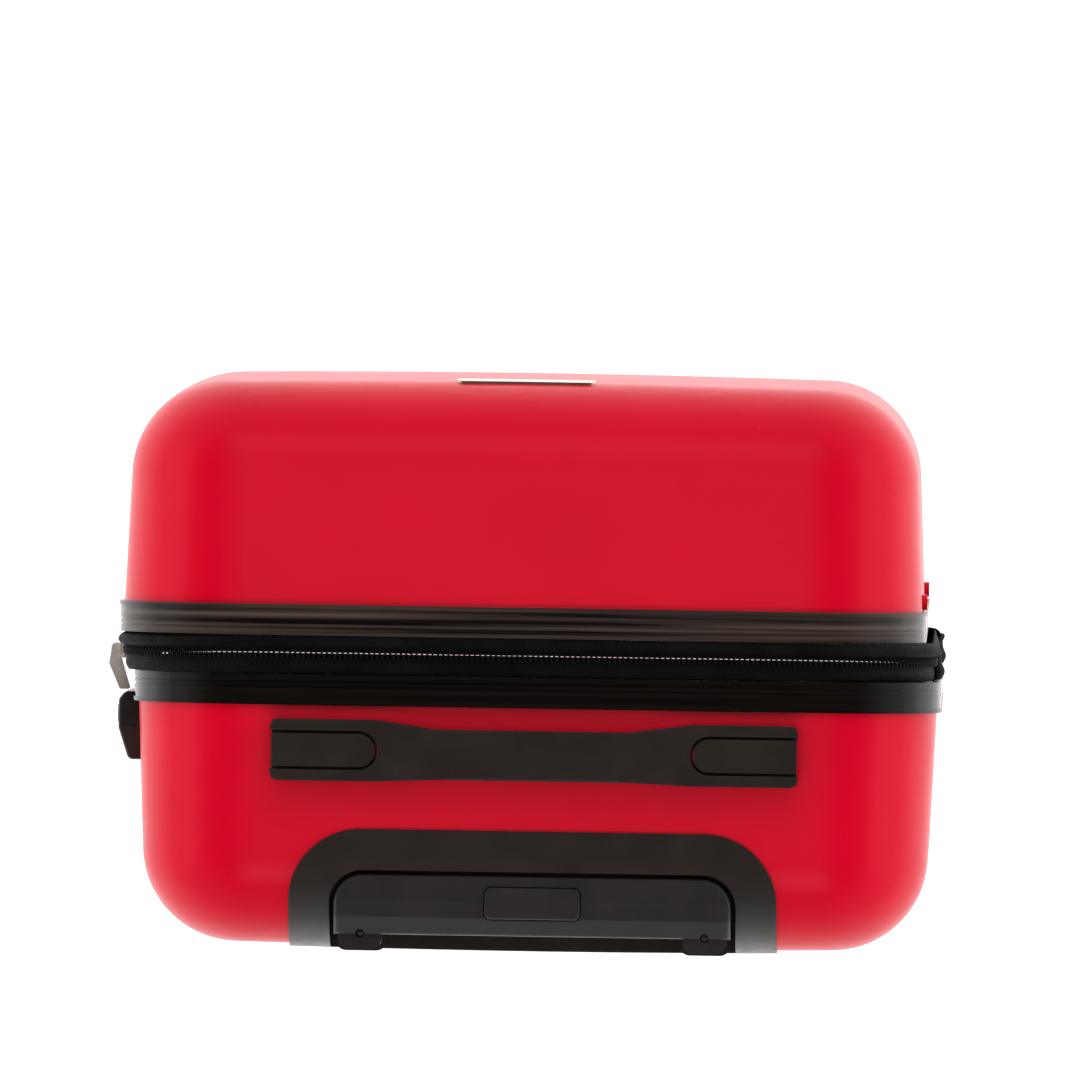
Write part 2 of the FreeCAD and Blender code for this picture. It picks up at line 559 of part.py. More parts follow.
# lower bracket: closes the channel, holds the tubes' lower ends and carries two rest feet
bracket = block("bracket_block", ("-slack - channel_wide / 2 + 0.2", "-slack + channel_wide / 2 - 0.2"),
                ("back_rim_y + back_deep - channel_deep + 0.2", "back_rim_y + back_deep - 1.2"),
                ("case_bottom + 8", "case_bottom + 48"))
sockets = tube_pair("bracket_socket", "tube_foot", "tube_foot + 60", "-0.05", "1", hole=False)
feet = [rounded_block(f"bracket_foot_{number}", "XZ", "back_rim_y + back_deep + bezel_proud", "6", "30",
                      "12", "4",
                      (f"-slack + ({side}) * 50", "case_bottom + 30"))
        for number, side in enumerate((1, -1))]
SCREW_PLACES = [(f"-slack + ({side}) * 22", f"case_bottom + {z}") for side in (1, -1) for z in (18, 38)]
screw_holes = []
screws = []
for number, (x, z) in enumerate(SCREW_PLACES):
    shank = rod(f"screw_{number}_shank", "1.7", "14", (x, "back_rim_y + back_deep - 17", z), "y")
    head = rod(f"screw_{number}_head", "3.4", "2", (x, "back_rim_y + back_deep - 3.2", z), "y")
    slot = block(f"screw_{number}_slot", (f"{x} - 0.5", f"{x} + 0.5"),
                 ("back_rim_y + back_deep - 2.2", "back_rim_y + back_deep"), (f"{z} - 2.4", f"{z} + 2.4"))
    whole = fuse(f"screw_{number}_whole", shank, head)
    screw_holes.append(whole)
    screws.append(cut(f"screw_{number}", whole, slot))
node("trolley_bracket", cut("trolley_bracket_solid", fuse("bracket_body", bracket, *feet), *sockets,
                            *screw_holes))
node("bracket_screws", group("bracket_screws_solids", *screws))


# ---------------------------------------------------------------------------------------------
# carry handle on the upper end
# ---------------------------------------------------------------------------------------------
HANDLE_END = "(handle_long / 2)"
WAIST = "(handle_long / 2 - tongue_long)"
half_wide = "(handle_wide / 2)"
plan = outline_block("handle_plan", "XY", "handle_under - 10", "40", (
    (f"-slack - {HANDLE_END}", f"handle_y - {half_wide}"),
    (f"-slack - {WAIST}", f"handle_y - {half_wide}"),
    (f"-slack - {WAIST} + 28", f"handle_y - {half_wide} + handle_waist_front"),
    (f"-slack + {WAIST} - 28", f"handle_y - {half_wide} + handle_waist_front"),
    (f"-slack + {WAIST}", f"handle_y - {half_wide}"),
    (f"-slack + {HANDLE_END}", f"handle_y - {half_wide}"),
    (f"-slack + {HANDLE_END}", f"handle_y + {half_wide}"),
    (f"-slack + {WAIST}", f"handle_y + {half_wide}"),
    (f"-slack + {WAIST} - 28", f"handle_y + {half_wide} - handle_waist_back"),
    (f"-slack - {WAIST} + 28", f"handle_y + {half_wide} - handle_waist_back"),
    (f"-slack - {WAIST}", f"handle_y + {half_wide}"),
    (f"-slack - {HANDLE_END}", f"handle_y + {half_wide}")))
plan_soft = rounded("handle_plan_soft", plan, "26", lambda edge: (
    edge.BoundBox.ZLength > 30 and abs(edge.BoundBox.XMin + value_of("slack")) < value_of(HANDLE_END) - 5))
side_view = outline_block("handle_side", "XZ", "handle_y + 20", "40", (
    (f"-slack - {HANDLE_END}", "handle_under"), (f"-slack - {WAIST}", "handle_under"),
    (f"-slack - {WAIST} + 22", "handle_under + handle_arch"),
    (f"-slack + {WAIST} - 22", "handle_under + handle_arch"),
    (f"-slack + {WAIST}", "handle_under"), (f"-slack + {HANDLE_END}", "handle_under"),
    (f"-slack + {HANDLE_END}", "handle_top"), (f"-slack + {WAIST} - 10", "handle_top"),
    (f"-slack + {WAIST} - 34", "handle_top + 2.5"), (f"-slack - {WAIST} + 34", "handle_top + 2.5"),
    (f"-slack - {WAIST} + 10", "handle_top"), (f"-slack - {HANDLE_END}", "handle_top")))
side_soft = rounded("handle_side_soft", side_view, "20", lambda edge: (
    edge.BoundBox.YLength > 30 and abs(edge.BoundBox.XMin + value_of("slack")) < value_of(HANDLE_END) - 5))
slots = []
tongues = []
for number, side in enumerate((1, -1)):
    reach = "(tongue_long - tongue_wide / 2)"
    end = f"-slack + ({side}) * {HANDLE_END}"
    inner_end = f"-slack + ({side}) * ({HANDLE_END} - {reach})"
    low_high = (inner_end, f"{end} + ({side}) * 5") if side > 0 else (f"{end} + ({side}) * 5", inner_end)
    flush = (inner_end, f"{end} - 0.6") if side > 0 else (f"{end} + 0.6", inner_end)
    for kind, gap, span, levels, made in (
            ("slot", "tongue_gap", low_high, ("handle_under - 5", "handle_top + 20"), slots),
            ("tongue", "0", flush, ("handle_under - 0.6", "handle_top - 0.1"), tongues)):
        width = f"(tongue_wide / 2 + {gap})"
        bar = block(f"{kind}_{number}_bar", span, (f"handle_y - {width}", f"handle_y + {width}"), levels)
        nose = rod(f"{kind}_{number}_nose", width, f"({levels[1]}) - ({levels[0]})",
                   (inner_end, "handle_y", levels[0]))
        made.append(fuse(f"{kind}_{number}", bar, nose))
section = rounded_block("handle_section", "YZ", f"-slack - {HANDLE_END}", "handle_long", "handle_wide",
                        "handle_top + 2.5 - handle_under", "3",
                        ("handle_y", "(handle_top + 2.5 + handle_under) / 2"))
ends = rounded_block("handle_ends", "XY", "handle_under - 5", "30", "handle_long", "handle_wide", "4",
                     ("-slack", "handle_y"))
node("carry_handle", cut("carry_handle_solid", common("handle_crossed", plan_soft, side_soft, section,
                                                      ends), *slots))
mounts = []
for number, side in enumerate((1, -1)):
    outer_x = f"-slack + ({side}) * ({HANDLE_END} - 0.6)"
    inner_x = f"-slack + ({side}) * ({HANDLE_END} - tongue_long)"
    span = (inner_x, outer_x) if side > 0 else (outer_x, inner_x)
    plate = block(f"mount_{number}_plate", span, (f"handle_y - {half_wide} + 0.6",
                                                  f"handle_y + {half_wide} - 0.6"),
                  ("handle_under - 6", "handle_under - 0.5"))
    mounts.append(cut(f"mount_{number}", fuse(f"mount_{number}_whole", plate, tongues[number]),
                      forms[BACK]))
node("handle_mounts", group("handle_mounts_solids", *mounts))


# ---------------------------------------------------------------------------------------------
# combination lock on the lock side
# ---------------------------------------------------------------------------------------------
LOCK_LOW, LOCK_HIGH = "(lock_z - lock_long / 2)", "(lock_z + lock_long / 2)"
RIM_OUT = "(case_width / 2 + rim_proud + bead_proud + 0.15)"
profile = outline_block("lock_profile", "XY", LOCK_LOW, "lock_long", (
    (f"-slack + {RIM_OUT}", "lock_start"), ("-slack + lock_out - 2.6", "lock_start"),
    ("-slack + lock_out", "lock_start + 3.4"), ("-slack + lock_out", "lock_bend"),
    ("-slack + lock_out - 4.5", "lock_end"), ("-slack + 170", "lock_end"),
    ("-slack + 170", "back_rim_y + 0.2"),
    (f"-slack + {RIM_OUT}", "back_rim_y + 0.2")))
lock_face_x = value_of("lock_out - slack")
lock_sides = rounded("lock_sides", profile, "3", lambda edge: (
    edge.BoundBox.ZLength > 10 and edge.BoundBox.XMin > lock_face_x - 5))
lock_round = rounded("lock_round", lock_sides, "1.6", lambda edge: (
    edge.BoundBox.ZLength < 0.01 and edge.BoundBox.XMax > lock_face_x - 3.5 and edge.BoundBox.YMax > 13.5))
lock_outside = cut("lock_outside", lock_round, forms[BACK])
cap_side = block("lock_cap_side", ("150", "200"), ("0", "lock_bend"),
                 (f"{LOCK_LOW} - 5", f"{LOCK_HIGH} + 5"))
DIAL_X = "(lock_out + 0.7 - dial_radius - slack)"
DIAL_PLACES = ("lock_z - dial_pitch", "lock_z", "lock_z + dial_pitch")
dial_room = rod("dial_room", "dial_radius + 0.4", "3 * dial_pitch + 1",
                (DIAL_X, "dial_y", "lock_z - 1.5 * dial_pitch - 0.5"))
windows = [block(f"dial_window_{n}", ("-slack + 170", "200"), ("dial_y - 4.4", "dial_y + 4.4"),
                 (f"{z} - dial_thick / 2 - 0.35", f"{z} + dial_thick / 2 + 0.35"))
           for n, z in enumerate(DIAL_PLACES)]
inner_room = block("dial_inner_room", ("-slack + 160", "-slack + lock_out - 1.6"),
                   ("dial_y - 4.4", "dial_y + 4.4"),
                   ("lock_z - 1.5 * dial_pitch - 0.5", "lock_z + 1.5 * dial_pitch + 0.5"))
BUTTON_Z, KEY_Z = "(lock_z + 21)", "(lock_z - 21)"
latch_hole = block("latch_hole", ("150", "200"), ("dial_y - 4.3", "dial_y + 4.3"),
                   (f"{BUTTON_Z} - 5.3", f"{BUTTON_Z} + 5.3"))
key_hole = rod("key_hole", "3.9 + pin_slip", "60", ("150", "dial_y - 0.7", KEY_Z), "x")
lock_axle = rod("dial_axle", "1.3", "3 * dial_pitch + 7",
                (DIAL_X, "dial_y", "lock_z - 1.5 * dial_pitch - 3.5"))
cap_area = common("lock_cap_area", lock_outside, cap_side)
room = fuse("dial_rooms", inner_room, dial_room)
node("lock_face", cut("lock_face_solid", cap_area, room, *windows, latch_hole, key_hole, lock_axle))
box_inside = block("lock_box", ("-slack + 161", "-slack + 174.2"), ("back_rim_y + 0.6", "lock_end - 2.2"),
                   ("lock_z - lock_long / 2 + 3.2", "lock_z + lock_long / 2 - 3.2"))
slope = cut("lock_slope", lock_outside, cap_side)
node("lock_body", cut("lock_body_solid", fuse("lock_body_whole",
                                              cut("lock_box_trimmed", box_inside, cap_area), slope),
                      fuse("dial_rooms_body", inner_room, dial_room), latch_hole, key_hole, lock_axle))
node("lock_axle", rod("lock_axle_pin", "1.3 - pin_slip", "3 * dial_pitch + 6.8",
                      (DIAL_X, "dial_y", "lock_z - 1.5 * dial_pitch - 3.4")))
for number, z in enumerate(DIAL_PLACES, start=1):
    disc = rod(f"dial_{number}_disc", "dial_radius", "dial_thick",
               (DIAL_X, "dial_y", f"{z} - dial_thick / 2"))
    bore = rod(f"dial_{number}_bore", "1.3 + pin_slip", "dial_thick + 2",
               (DIAL_X, "dial_y", f"{z} - dial_thick / 2 - 1"))
    turned = rounded(f"dial_{number}_turned", disc, "0.5", lambda edge: True)
    node(f"lock_dial_{number}", cut(f"dial_{number}_solid", turned, bore))
latch = block("latch_block", ("-slack + 176", "-slack + lock_out + 0.6"), ("dial_y - 4", "dial_y + 4"),
              (f"{BUTTON_Z} - 5", f"{BUTTON_Z} + 5"))
node("lock_button", rounded("lock_button_solid", latch, "0.8",
                            lambda edge: edge.BoundBox.XMin > value_of("lock_out - slack")))
core = rod("key_core_body", "3.9", "12", ("-slack + lock_out - 12.2", "dial_y - 0.7", KEY_Z), "x")
key_slot = block("key_slot", ("-slack + lock_out - 5", "200"), ("dial_y - 3.2", "dial_y + 1.8"),
                 (f"{KEY_Z} - 0.5", f"{KEY_Z} + 0.5"))
node("lock_key_core", cut("lock_key_core_solid", core, key_slot))


# ---------------------------------------------------------------------------------------------
# trim: badge, side studs, inside panel and straps
# ---------------------------------------------------------------------------------------------
badge_area = rounded_block("badge_area", "XZ", "front_rim_y - front_deep + 60", "80", "61", "13", "4",
                           ("slack", f"{MIDDLE_Z} + case_tall / 2 - edge_round - 1"))
badge_form = half_form("badge_form", FRONT, "1.1")
node("badge_plate", cut("badge_plate_solid", common("badge_raw", badge_area, badge_form), forms[FRONT]))

studs = [rod(f"stud_{number}", "3.4", "6", ("slack - case_width / 2 - 1.6", "front_rim_y - 4.2", z), "x")
         for number, z in enumerate((f"{ARC_TOP} - 8", f"{ARC_BOTTOM} + 8"))]
node("side_studs", group("side_studs_solids", *[cut(f"stud_{n}_solid", stud, forms[FRONT])
                                                for n, stud in enumerate(studs)]))

node("divider_panel", rounded_block("divider_solid", "XZ", "front_rim_y - 4", "2", "case_width - 16",
                                    "case_tall - 16",
                                    "corner_round - 8", ("slack", MIDDLE_Z)))

strap_reach = "(case_width / 2 - wall - 3.5)"
straps = []
for number, (x_sign, z_sign) in enumerate(((1, 1), (-1, 1), (-1, -1), (1, -1))):
    x_in, x_out = f"-slack + ({x_sign}) * 18", f"-slack + ({x_sign}) * {strap_reach}"
    z_in, z_out = f"{MIDDLE_Z} + ({z_sign}) * 4", f"{MIDDLE_Z} + ({z_sign}) * 75"
    straps.append(outline_block(f"strap_{number}", "XZ", "back_rim_y + 3", "1.5",
                                ((x_in, z_in), (x_out, z_out), (x_out, f"{z_out} + ({z_sign}) * 28"),
                                 (x_in, f"{z_in} + ({z_sign}) * 22"))))
node("packing_straps", group("packing_straps_solids", *straps))
node("strap_buckle", rounded_block("strap_buckle_solid", "XZ", "back_rim_y + 6", "7", "34", "56", "8",
                                   ("-slack", MIDDLE_Z)))


# ---------------------------------------------------------------------------------------------
# casters
# ---------------------------------------------------------------------------------------------
for half in (FRONT, BACK):
    cap_form = half_form(f"{half}_caster_cap_form", half, "1.5")
    for caster, x_sign, x, y in caster_places(half):
        y_sign = HALF[half]["sign"]
        x_span = sorted((f"{x} - ({x_sign}) * 30", f"{x} + ({x_sign}) * 60"), key=value_of)
        y_span = sorted((f"{y} - ({y_sign}) * 32", f"{y} + ({y_sign}) * 60"), key=value_of)
        area = block(f"{caster}_area", x_span, y_span, ("20", "case_bottom + 30"))
        corner_cap = common(f"{caster}_cap", cap_form, area)
        pad_block = rounded_block(f"{caster}_block", "XY", "base_low", "12", "54", "54", "22", (x, y))
        boss = rod(f"{caster}_boss", "cup_radius - 0.15", "cup_top - 0.2 - base_low", (x, y, "base_low"))
        shell_room = cut(f"{caster}_shell_room", forms[half],
                         rod(f"{caster}_cup_room", "cup_radius", "cup_top", (x, y, "0")))
        bore = rod(f"{caster}_bore", "pin_radius + pin_slip", "cup_top - 8 - base_low",
                   (x, y, "base_low - 2"))
        whole = fuse(f"{caster}_base_whole", corner_cap, pad_block, boss)
        node(f"{caster}_caster_base", cut(f"{caster}_base_solid", whole, shell_room, bore))

        axle_y = f"{y} + wheel_trail"
        crown = rod(f"{caster}_crown", "17", "crown_high - crown_low", (x, y, "crown_low"))
        pin = rod(f"{caster}_pin", "pin_radius", "cup_top - 12 - crown_high", (x, y, "crown_high"))
        web_outline = (("{y} - 10", "crown_low + 1"), ("{y} + 20", "crown_low + 1"),
                       ("{y} + 19", "wheel_radius - 5"),
                       ("{y} + 5", "wheel_radius - 5"))
        web = outline_block(f"{caster}_web", "YZ", f"{x} - web_wide / 2", "web_wide",
                            [(a.format(y=y), b) for a, b in web_outline])
        hub_boss = rod(f"{caster}_hub_boss", "8", "web_wide",
                       (f"{x} - web_wide / 2", axle_y, "wheel_radius"), "x")
        hood = cut(f"{caster}_hood",
                   rod(f"{caster}_hood_outer", "wheel_radius + 4", "2 * wheel_wide + web_wide + 2",
                       (f"{x} - wheel_wide - web_wide / 2 - 1", axle_y, "wheel_radius"), "x"),
                   rod(f"{caster}_hood_inner", "wheel_radius + 1.6", "80",
                       (f"{x} - 40", axle_y, "wheel_radius"), "x"),
                   block(f"{caster}_hood_open", (f"{x} - 40", f"{x} + 40"), (f"{y} - 60", f"{y} + 60"),
                         ("-20", "wheel_radius + 9")))
        axle_bore = rod(f"{caster}_axle_bore", "2.5 + pin_slip", "80",
                        (f"{x} - 40", axle_y, "wheel_radius"), "x")
        fork_whole = fuse(f"{caster}_fork_whole", crown, pin, web, hub_boss, hood)
        node(f"{caster}_fork", cut(f"{caster}_fork_solid", fork_whole, axle_bore))

        outer_face = "(web_wide / 2 + 0.5 + wheel_wide)"
        node(f"{caster}_axle", rod(f"{caster}_axle_pin", "2.5", f"2 * {outer_face} - 4",
                                   (f"{x} - {outer_face} + 2", axle_y, "wheel_radius"), "x"))
        hubs = []
        tyres = []
        for number, side in enumerate((1, -1)):
            inner_face = f"{x} + web_wide / 2 + 0.5" if side > 0 else f"{x} - {outer_face}"
            at = (inner_face, axle_y, "wheel_radius")
            core = rod(f"{caster}_hub_{number}_core", "wheel_radius - 5", "wheel_wide", at, "x")
            hub_bore = rod(f"{caster}_hub_{number}_bore", "2.5", f"{outer_face} - 2",
                           (x if side > 0 else f"{x} - {outer_face} + 2", axle_y, "wheel_radius"), "x")
            dish = rod(f"{caster}_hub_{number}_dish", "wheel_radius - 8", "2.5",
                       (f"{x} + {outer_face} - 2.5" if side > 0 else f"{x} - {outer_face}", axle_y,
                        "wheel_radius"), "x")
            nave = rod(f"{caster}_hub_{number}_nave", "4.5", "2.2",
                       (f"{x} + {outer_face} - 2.6" if side > 0 else f"{x} - {outer_face} + 0.4", axle_y,
                        "wheel_radius"), "x")
            dished = cut(f"{caster}_hub_{number}_dished", core, dish)
            hubs.append(cut(f"{caster}_hub_{number}", fuse(f"{caster}_hub_{number}_whole", dished, nave),
                            hub_bore))
            tread = rounded(f"{caster}_tyre_{number}_tread",
                            rod(f"{caster}_tyre_{number}_blank", "wheel_radius", "wheel_wide", at, "x"),
                            "2.2",
                            lambda edge: True)
            tyres.append(cut(f"{caster}_tyre_{number}", tread,
                             rod(f"{caster}_tyre_{number}_seat", "wheel_radius - 5", "wheel_wide + 4",
                                 (f"{at[0]} - 2", axle_y, "wheel_radius"), "x")))
        node(f"{caster}_hubs", group(f"{caster}_hubs_solids", *hubs))
        node(f"{caster}_tyres", group(f"{caster}_tyres_solids", *tyres))


# ---------------------------------------------------------------------------------------------
# check and write
# ---------------------------------------------------------------------------------------------
doc.recompute()
faults = [obj.Name for obj in doc.Objects if "Invalid" in obj.State or "Error" in obj.State]
for part in nodes:
    if part.Shape.isNull() or not part.Shape.isValid() or not part.Shape.Solids:
        faults.append(part.Label)
if faults:
    raise RuntimeError("failed objects: " + ", ".join(faults))
os.makedirs("parts", exist_ok=True)
for part in nodes:
    part.Shape.exportStep(os.path.join("parts", part.Label + ".step"))
print(len(nodes), "nodes written")
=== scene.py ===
import json
import math
import bpy
from mathutils import Matrix, Vector


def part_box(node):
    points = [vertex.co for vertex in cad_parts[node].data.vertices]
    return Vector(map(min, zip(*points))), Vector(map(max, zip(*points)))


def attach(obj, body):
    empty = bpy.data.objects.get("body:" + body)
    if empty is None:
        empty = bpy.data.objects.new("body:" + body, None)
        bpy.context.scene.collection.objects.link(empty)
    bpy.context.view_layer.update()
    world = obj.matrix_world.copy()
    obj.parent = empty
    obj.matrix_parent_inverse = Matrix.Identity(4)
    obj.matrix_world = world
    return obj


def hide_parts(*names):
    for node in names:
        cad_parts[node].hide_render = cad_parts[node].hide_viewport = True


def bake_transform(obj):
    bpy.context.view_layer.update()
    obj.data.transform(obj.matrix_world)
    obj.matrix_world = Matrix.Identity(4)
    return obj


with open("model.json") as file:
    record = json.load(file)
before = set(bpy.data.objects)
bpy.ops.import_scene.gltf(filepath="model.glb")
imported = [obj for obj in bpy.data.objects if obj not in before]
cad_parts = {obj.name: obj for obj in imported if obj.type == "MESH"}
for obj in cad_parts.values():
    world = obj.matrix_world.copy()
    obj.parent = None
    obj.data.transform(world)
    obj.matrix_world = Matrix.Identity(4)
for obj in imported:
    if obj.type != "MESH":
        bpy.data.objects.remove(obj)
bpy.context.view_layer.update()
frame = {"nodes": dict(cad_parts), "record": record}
scene = bpy.context.scene
scene.view_settings.view_transform = "Standard"
MM = 0.001


# ---------------------------------------------------------------------------------------------
# camera, lights, surroundings
# ---------------------------------------------------------------------------------------------
def look(place, aim, right, roll):
    """A camera matrix: placed, aimed, its right side near the given direction and rolled by some degrees."""
    back = (Vector(place) - Vector(aim)).normalized()
    side = (Vector(right) - Vector(right).dot(back) * back).normalized()
    up = back.cross(side)
    turn = math.radians(roll)
    side, up = side * math.cos(turn) + up * math.sin(turn), up * math.cos(turn) - side * math.sin(turn)
    matrix = Matrix((side, up, back)).transposed().to_4x4()
    matrix.translation = Vector(place)
    return matrix


camera = bpy.data.objects.new("camera", bpy.data.cameras.new("camera"))
scene.collection.objects.link(camera)
scene.camera = camera
camera.data.sensor_width = 36
camera.data.lens = 686
camera.data.clip_end = 100
camera.matrix_world = look((-0.193, -0.179, 9.54), (-0.0045, -0.057, 0.54), (-1, 0, 0), 0.9)


def softbox(name, place, aim, wide, tall, radiance):
    """A large lamp that lights the case, but is itself not seen in its glossy surfaces."""
    light = bpy.data.lights.new(name, "AREA")
    light.shape = "RECTANGLE"
    light.size, light.size_y = wide, tall
    light.energy = radiance * math.pi * wide * tall
    box = bpy.data.objects.new(name, light)
    scene.collection.objects.link(box)
    box.matrix_world = look(place, aim, (0, 1, 0) if abs(place[0]) > abs(place[1]) else (1, 0, 0), 0)
    box.visible_camera = False
    box.visible_glossy = False


softbox("softbox_lock_side", (1.8, -0.2, 1.05), (0, 0, 0.45), 1.8, 0.8, 2.9)
softbox("softbox_hinge_side", (-1.8, -0.2, 1.05), (0, 0, 0.45), 1.8, 0.8, 2.9)
softbox("fill_front", (0, -1.5, 2.2), (0, 0, 0.45), 1.6, 1.0, 2.1)
softbox("fill_back", (0, 1.35, 2.6), (0, 0, 0.3), 1.6, 0.9, 4.0)
softbox("fill_top", (0, -0.3, 3.4), (0, 0, 0.45), 1.6, 1.6, 1.5)

world = bpy.data.worlds.new("studio")
scene.world = world
world.use_nodes = True
tree = world.node_tree
direction = tree.nodes.new("ShaderNodeTexCoord")
split = tree.nodes.new("ShaderNodeSeparateXYZ")
ramp = tree.nodes.new("ShaderNodeValToRGB")
tree.links.new(direction.outputs["Generated"], split.inputs[0])
tree.links.new(split.outputs["Z"], ramp.inputs[0])
tree.links.new(ramp.outputs["Color"], tree.nodes["Background"].inputs["Color"])
ramp.color_ramp.elements[0].position = 0.28
ramp.color_ramp.elements[0].color = (0.62, 0.65, 0.68, 1)
ramp.color_ramp.elements[1].position = 0.72
ramp.color_ramp.elements[1].color = (0.10, 0.075, 0.06, 1)


# ---------------------------------------------------------------------------------------------
# materials
# ---------------------------------------------------------------------------------------------
class Surface:
    """A material around one Principled shader; colour, roughness and relief are added step by step."""

    def __init__(self, name, colour, roughness, metallic=0.0, **sockets):
        self.material = bpy.data.materials.new(name)
        self.material.use_nodes = True
        self.tree = self.material.node_tree
        self.shader = self.tree.nodes["Principled BSDF"]
        self.place = self.tree.nodes.new("ShaderNodeTexCoord").outputs["Object"]
        self.uv = self.tree.nodes.new("ShaderNodeUVMap").outputs["UV"]
        self.normal = None
        self.set("Base Color", (*colour, 1))
        self.set("Roughness", roughness)
        self.set("Metallic", metallic)
        for socket, value in sockets.items():
            self.set(socket.replace("_", " "), value)

    def set(self, socket, value):
        self.shader.inputs[socket].default_value = value

    def add(self, kind, output, **inputs):
        """A node with its inputs set or linked; gives back one output."""
        node = self.tree.nodes.new("ShaderNode" + kind)
        for name, value in inputs.items():
            socket = node.inputs[name.replace("_", " ")]
            if isinstance(value, bpy.types.NodeSocket):
                self.tree.links.new(value, socket)
            else:
                socket.default_value = value
        return node.outputs[output]

    def stretched(self, scale):
        return self.add("Mapping", "Vector", Vector=self.place, Scale=scale)

    def noise(self, scale, detail=2.0, stretch=None, rough=0.5, distortion=0.0):
        place = self.stretched(stretch) if stretch else self.place
        return self.add("TexNoise", "Fac", Vector=place, Scale=scale, Detail=detail, Roughness=rough,
                        Distortion=distortion)

    def waves(self, place, scale, axis):
        """Ridges across one axis, from 0 to 1."""
        node = self.tree.nodes.new("ShaderNodeTexWave")
        node.bands_direction = axis
        self.tree.links.new(place, node.inputs["Vector"])
        node.inputs["Scale"].default_value = scale
        return node.outputs["Fac"]

    def span(self, value, low, high, start=0.3, end=0.7):
        return self.add("MapRange", "Result", Value=value, From_Min=start, From_Max=end,
                        To_Min=low, To_Max=high)

    def colours(self, value, first, second, start=0.35, end=0.65):
        """The base colour drifts from one colour to another as the value rises."""
        node = self.tree.nodes.new("ShaderNodeValToRGB")
        self.tree.links.new(value, node.inputs[0])
        low, high = node.color_ramp.elements
        low.position, low.color = start, (*first, 1)
        high.position, high.color = end, (*second, 1)
        self.tree.links.new(node.outputs["Color"], self.shader.inputs["Base Color"])

    def roughness(self, value, low, high, start=0.3, end=0.7):
        self.tree.links.new(self.span(value, low, high, start, end), self.shader.inputs["Roughness"])

    def softened_edges(self, radius):
        """Shades the edges as if they were rounded by so many metres."""
        self.normal = self.add("Bevel", "Normal", Radius=radius)
        self.tree.links.new(self.normal, self.shader.inputs["Normal"])

    def relief(self, height, distance, strength=1.0):
        """Bumps of so many metres, on top of those added before."""
        node = self.tree.nodes.new("ShaderNodeBump")
        node.inputs["Distance"].default_value = distance
        node.inputs["Strength"].default_value = strength
        self.tree.links.new(height, node.inputs["Height"])
        if self.normal:
            self.tree.links.new(self.normal, node.inputs["Normal"])
        self.normal = node.outputs["Normal"]
        self.tree.links.new(self.normal, self.shader.inputs["Normal"])


def total(surface, first, second):
    """Two values added."""
    node = surface.tree.nodes.new("ShaderNodeMath")
    node.operation = "ADD"
    surface.tree.links.new(first, node.inputs[0])
    surface.tree.links.new(second, node.inputs[1])
    return node.outputs[0]


def moulded(name, colour, second, roughness, grain=900, depth=0.00006, **sockets):
    """Moulded plastic with a fine grain and slow drifts of tone and gloss."""
    surface = Surface(name, colour, roughness, **sockets)
    surface.softened_edges(0.9 * MM)
    surface.colours(surface.noise(55, 3), colour, second)
    surface.roughness(surface.noise(130, 4), roughness - 0.05, roughness + 0.06)
    surface.relief(surface.noise(grain, 2, distortion=0.4), depth)
    return surface


def metal(name, colour, second, roughness, stretch=(1, 1, 0.03), **sockets):
    """Metal brushed along one axis."""
    surface = Surface(name, colour, roughness, 1.0, **sockets)
    brushed = surface.noise(1500, 2, stretch)
    surface.colours(surface.noise(90, 3, stretch), colour, second)
    surface.roughness(brushed, roughness - 0.06, roughness + 0.08)
    surface.relief(brushed, 0.00001)
    return surface


def wave_scale(pitch):
    """The wave texture's scale for ridges that are so many metres apart."""
    return 2 * math.pi / pitch / 20


def cloth(name, colour, second, pitch, depth=0.00012, roughness=0.85, **sockets):
    """Plain woven cloth, its threads crossing on every side of the piece."""
    surface = Surface(name, colour, roughness, **sockets)
    scale = wave_scale(pitch)
    threads = [surface.waves(surface.place, scale, axis) for axis in "XYZ"]
    weave = total(surface, total(surface, threads[0], threads[1]), threads[2])
    surface.colours(surface.noise(25, 4), colour, second)
    surface.roughness(surface.noise(300, 2), roughness - 0.06, roughness + 0.06)
    surface.relief(surface.span(weave, 0, 1, 0, 3), depth)
    surface.relief(surface.noise(18, 2), 0.0006)
    return surface


def woven_band(name, colour, second, along, across, depth, roughness):
    """Narrow woven tape; its UV runs along and across it in metres."""
    surface = Surface(name, colour, roughness, Specular_IOR_Level=0.12)
    rows = surface.waves(surface.uv, wave_scale(along), "X")
    ribs = surface.waves(surface.uv, wave_scale(across), "Y")
    surface.colours(surface.noise(40, 3), colour, second)
    surface.roughness(surface.noise(220, 3), roughness - 0.08, roughness + 0.08)
    surface.relief(total(surface, rows, ribs), depth)
    surface.relief(surface.noise(90, 3), 0.0003)
    return surface


red = Surface("satin_red", (0.66, 0.0012, 0.021), 0.30, Specular_IOR_Level=0.17)
red.colours(red.noise(22, 3), (0.66, 0.0002, 0.017), (0.75, 0.0004, 0.021), 0.1, 0.9)
red.roughness(red.noise(60, 2), 0.26, 0.33, 0.1, 0.9)
red.relief(red.noise(760, 1.0), 0.00004, 0.8)
red.relief(red.noise(14, 2), 0.00020, 0.3)


def rim_gloss(name, dark, pale, ior):
    """Glossy moulded rim with streaks along it. Where the pale colour is bright, the streaks are a painted warm
    sheen: a reflection of light from above, painted into the base colour.
    """
    surface = Surface(name, dark, 0.24, IOR=ior)
    surface.softened_edges(0.5 * MM)
    surface.colours(surface.noise(420, 3, (0.012, 1, 0.012)), dark, pale, 0.35, 0.7)
    surface.roughness(surface.noise(120, 4, (0.2, 1, 0.2)), 0.10, 0.22)
    surface.relief(surface.noise(420, 3, (0.08, 1, 0.08)), 0.000012)
    return surface


